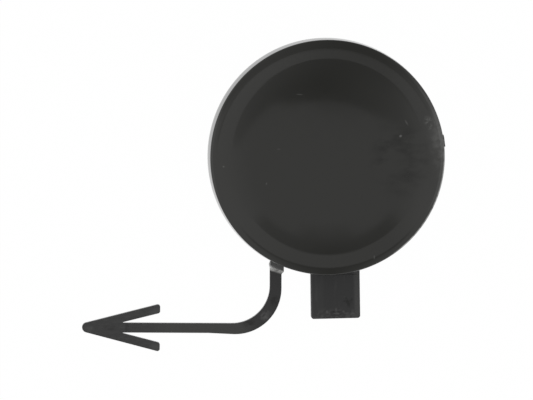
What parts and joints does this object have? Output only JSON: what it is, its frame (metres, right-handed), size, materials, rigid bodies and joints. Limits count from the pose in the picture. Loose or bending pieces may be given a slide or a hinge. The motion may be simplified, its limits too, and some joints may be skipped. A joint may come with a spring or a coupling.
{
  "type": "bumper tow hook cover",
  "caption": "Round moulded cover for a bumper's towing-eye opening, with snap hooks, a tuck-in tongue and an arrow-ended retaining strap.",
  "frame": {"origin": "centre of the skirt's rear rim, on the axis of the round face", "axes": "+Z out of the face, away from the bumper; -X along the strap's tail towards the arrow head; -Y along the tuck-in tongue"},
  "size_m": [0.111, 0.0968, 0.0162],
  "materials": {
    "moulded_plastic": "unpainted black moulding, satin face, fine matt hidden side"
  },
  "bodies": {
    "root": {"tow_hook_cover": "moulded_plastic"}
  },
  "joints": []
}
